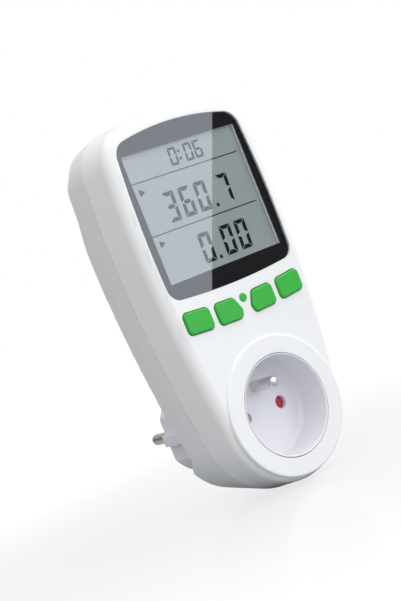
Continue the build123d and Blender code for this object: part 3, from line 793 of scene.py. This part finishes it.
@dataclass(frozen=True)
class Studio:
    """A pale floor, a bright room, two soft lights and a dark card.

    Attributes:
        floor_size: The floor's side.
        key_reach: How far in front of the window the key light stands.
        key_width: The key light's width.
        key_height: The key light's height.
        key_radiance: How bright the key light's face is.
        key_colour: The key light's sRGB colour.
        glare_top: Where the key light's edge shows at the window's top, as (x, z).
        glare_foot: Where it shows at the window's foot.
        top_centre: Where the middle of the light above is.
        top_width: Its width along X.
        top_depth: Its depth along Y.
        top_radiance: How bright it is.
        room_toward: Direction of the room's bright side.
        room_colour: The sRGB colour of the room's light.
        room_dim: The room's light from the dim side.
        room_bright: The room's light from the bright side.
        flag_width: Width of the dark card that stands beside the key light.
        flag_glow: How bright that card looks in a mirror.
    """

    floor_size: float = 8.0
    key_reach: float = 1.0
    key_width: float = 0.42
    key_height: float = 0.62
    key_radiance: float = 1.45
    key_colour: str = "#D3E2FF"
    glare_top: tuple[float, float] = (20.4 * MM, 116.6 * MM)
    glare_foot: tuple[float, float] = (-11.9 * MM, 52.8 * MM)
    top_centre: tuple[float, float, float] = (0.2, -0.1, 1.1)
    top_width: float = 1.4
    top_depth: float = 1.2
    top_radiance: float = 0.6
    room_toward: tuple[float, float, float] = (0.47, -0.76, 0.45)
    room_colour: str = "#FEFDFB"
    room_dim: float = 0.06
    room_bright: float = 1.6
    flag_width: float = 1.1
    flag_glow: float = 0.08

    def floor(self) -> bpy.types.Object:
        """Lays the floor under the object's lowest point."""
        low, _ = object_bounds()
        half = self.floor_size / 2
        corners = [(-half, -half, low.z), (half, -half, low.z), (half, half, low.z), (-half, half, low.z)]
        mesh = bpy.data.meshes.new("floor")
        mesh.from_pydata(corners, [], [(0, 1, 2, 3)])
        floor = bpy.data.objects.new("floor", mesh)
        bpy.context.scene.collection.objects.link(floor)
        floor.data.materials.append(PaleFloor().build())
        floor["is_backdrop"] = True
        return floor

    def room(self) -> bpy.types.World:
        """Makes the room: plain white to the lens, and lit from the front right for everything else."""
        world = bpy.data.worlds.new("room")
        world.use_nodes = True
        tree = world.node_tree
        tree.nodes.clear()
        place = add_node(tree, "ShaderNodeTexCoord")
        toward = add_node(
            tree,
            "ShaderNodeVectorMath",
            {"operation": "DOT_PRODUCT", 1: self.room_toward},
            {0: place.outputs["Generated"]},
        )
        level = add_node(
            tree,
            "ShaderNodeMapRange",
            {"From Min": -1.0, "From Max": 1.0, "To Min": self.room_dim, "To Max": self.room_bright},
            {"Value": toward.outputs["Value"]},
        )
        lit = add_node(
            tree,
            "ShaderNodeBackground",
            {"Color": linear(self.room_colour)},
            {"Strength": level.outputs["Result"]},
        )
        plain = add_node(tree, "ShaderNodeBackground", {"Color": linear(PLAIN_WHITE), "Strength": 1.0})
        path = add_node(tree, "ShaderNodeLightPath")
        both = add_node(
            tree,
            "ShaderNodeMixShader",
            links={
                0: path.outputs["Is Camera Ray"],
                1: lit.outputs["Background"],
                2: plain.outputs["Background"],
            },
        )
        add_node(tree, "ShaderNodeOutputWorld", links={"Surface": both.outputs["Shader"]})
        bpy.context.scene.world = world
        return world

    def mirrored(self, lens: Vector, spot: tuple[float, float], pane: float) -> Vector:
        """Follows a sight line off the window to the key light's plane.

        Args:
            lens: Where the camera is.
            spot: A point of the window, as (x, z).
            pane: The window's y.

        Returns:
            Where the mirrored line meets the plane that the key light stands in.
        """
        behind = Vector((lens.x, 2 * pane - lens.y, lens.z))
        way = Vector((spot[0], pane, spot[1])) - behind
        return behind + way * (1 + self.key_reach / abs(way.y))

    def key_light(self, lens: Vector) -> LightPanel:
        """Places the key light so that its right edge shows down the window."""
        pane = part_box("display_window")[0].y
        top = self.mirrored(lens, self.glare_top, pane)
        foot = self.mirrored(lens, self.glare_foot, pane)
        along = (top - foot).normalized()
        across = along.cross(Vector((0.0, -1.0, 0.0)))
        centre = (top + foot) / 2 - across * self.key_width / 2
        return LightPanel(
            name="key_light",
            centre=centre,
            across=across,
            along=along,
            width=self.key_width,
            height=self.key_height,
            radiance=self.key_radiance,
            colour=self.key_colour,
        )

    def top_light(self) -> LightPanel:
        """Places the light above, which looks down."""
        return LightPanel(
            name="top_light",
            centre=Vector(self.top_centre),
            across=Vector((1.0, 0.0, 0.0)),
            along=Vector((0.0, 1.0, 0.0)),
            width=self.top_width,
            height=self.top_depth,
            radiance=self.top_radiance,
            colour=PLAIN_WHITE,
        )

    def flag(self, key: LightPanel) -> bpy.types.Object:
        """Stands a dark card beside the key light, seen only in mirrors, so that the glare ends there."""
        near = key.centre + key.across * key.width / 2
        far = near + key.across * self.flag_width
        rise = key.along * key.height
        corners = [near - rise, far - rise, far + rise, near + rise]
        mesh = bpy.data.meshes.new("flag")
        mesh.from_pydata([tuple(corner) for corner in corners], [], [(0, 1, 2, 3)])
        card = bpy.data.objects.new("flag", mesh)
        bpy.context.scene.collection.objects.link(card)
        material, tree = new_material("dark_card")
        glow = add_node(
            tree, "ShaderNodeEmission", {"Color": linear(PLAIN_WHITE), "Strength": self.flag_glow}
        )
        add_node(tree, "ShaderNodeOutputMaterial", links={"Surface": glow.outputs["Emission"]})
        card.data.materials.append(material)
        card.visible_camera = False
        card.visible_diffuse = False
        card.visible_shadow = False
        card.visible_transmission = False
        card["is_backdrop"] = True
        return card

    def build(self, lens: Vector) -> None:
        """Builds the floor, the room, the lights and the dark card."""
        self.floor()
        self.room()
        key = self.key_light(lens)
        key.build()
        self.flag(key)
        self.top_light().build()
        log.info("built studio")


def paint(frame: dict, materials: dict[str, bpy.types.Material]) -> None:
    """Gives every solid of the frame the finish that the record names.

    Args:
        materials: The finishes by slot name.
    """
    for part in frame["record"]["subparts"]:
        solid = frame["nodes"][part["node"]]
        solid.data.materials.clear()
        solid.data.materials.append(materials[part["material_slot"]])
        log.info("painted %s with %s", part["node"], part["material_slot"])


def part_touching_faces(mask: bpy.types.Object, hair: float = 0.03 * MM) -> None:
    """Draws the printed border a hair behind the window, so that their touching faces don't mix."""
    gap = mask.modifiers.new("hair_gap", "DISPLACE")
    gap.direction = "Y"
    gap.mid_level = 0.0
    gap.strength = hair


def main() -> None:
    """Builds the scene in order."""
    logging.basicConfig(level=logging.INFO, format="%(name)s: %(message)s")
    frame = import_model()
    materials = {finish.name: finish.build() for finish in FINISHES}
    paint(frame, materials)
    part_touching_faces(frame["nodes"]["window_mask"])
    DisplayPrint().build(materials[BLACK_PRINT.name])
    CoilSpring().build(materials[SPRING_STEEL.name])
    camera = ViewPoint().build()
    Studio().build(camera.matrix_world.translation)
    bpy.context.scene.view_settings.view_transform = "Standard"


if __name__ == "__main__":
    main()
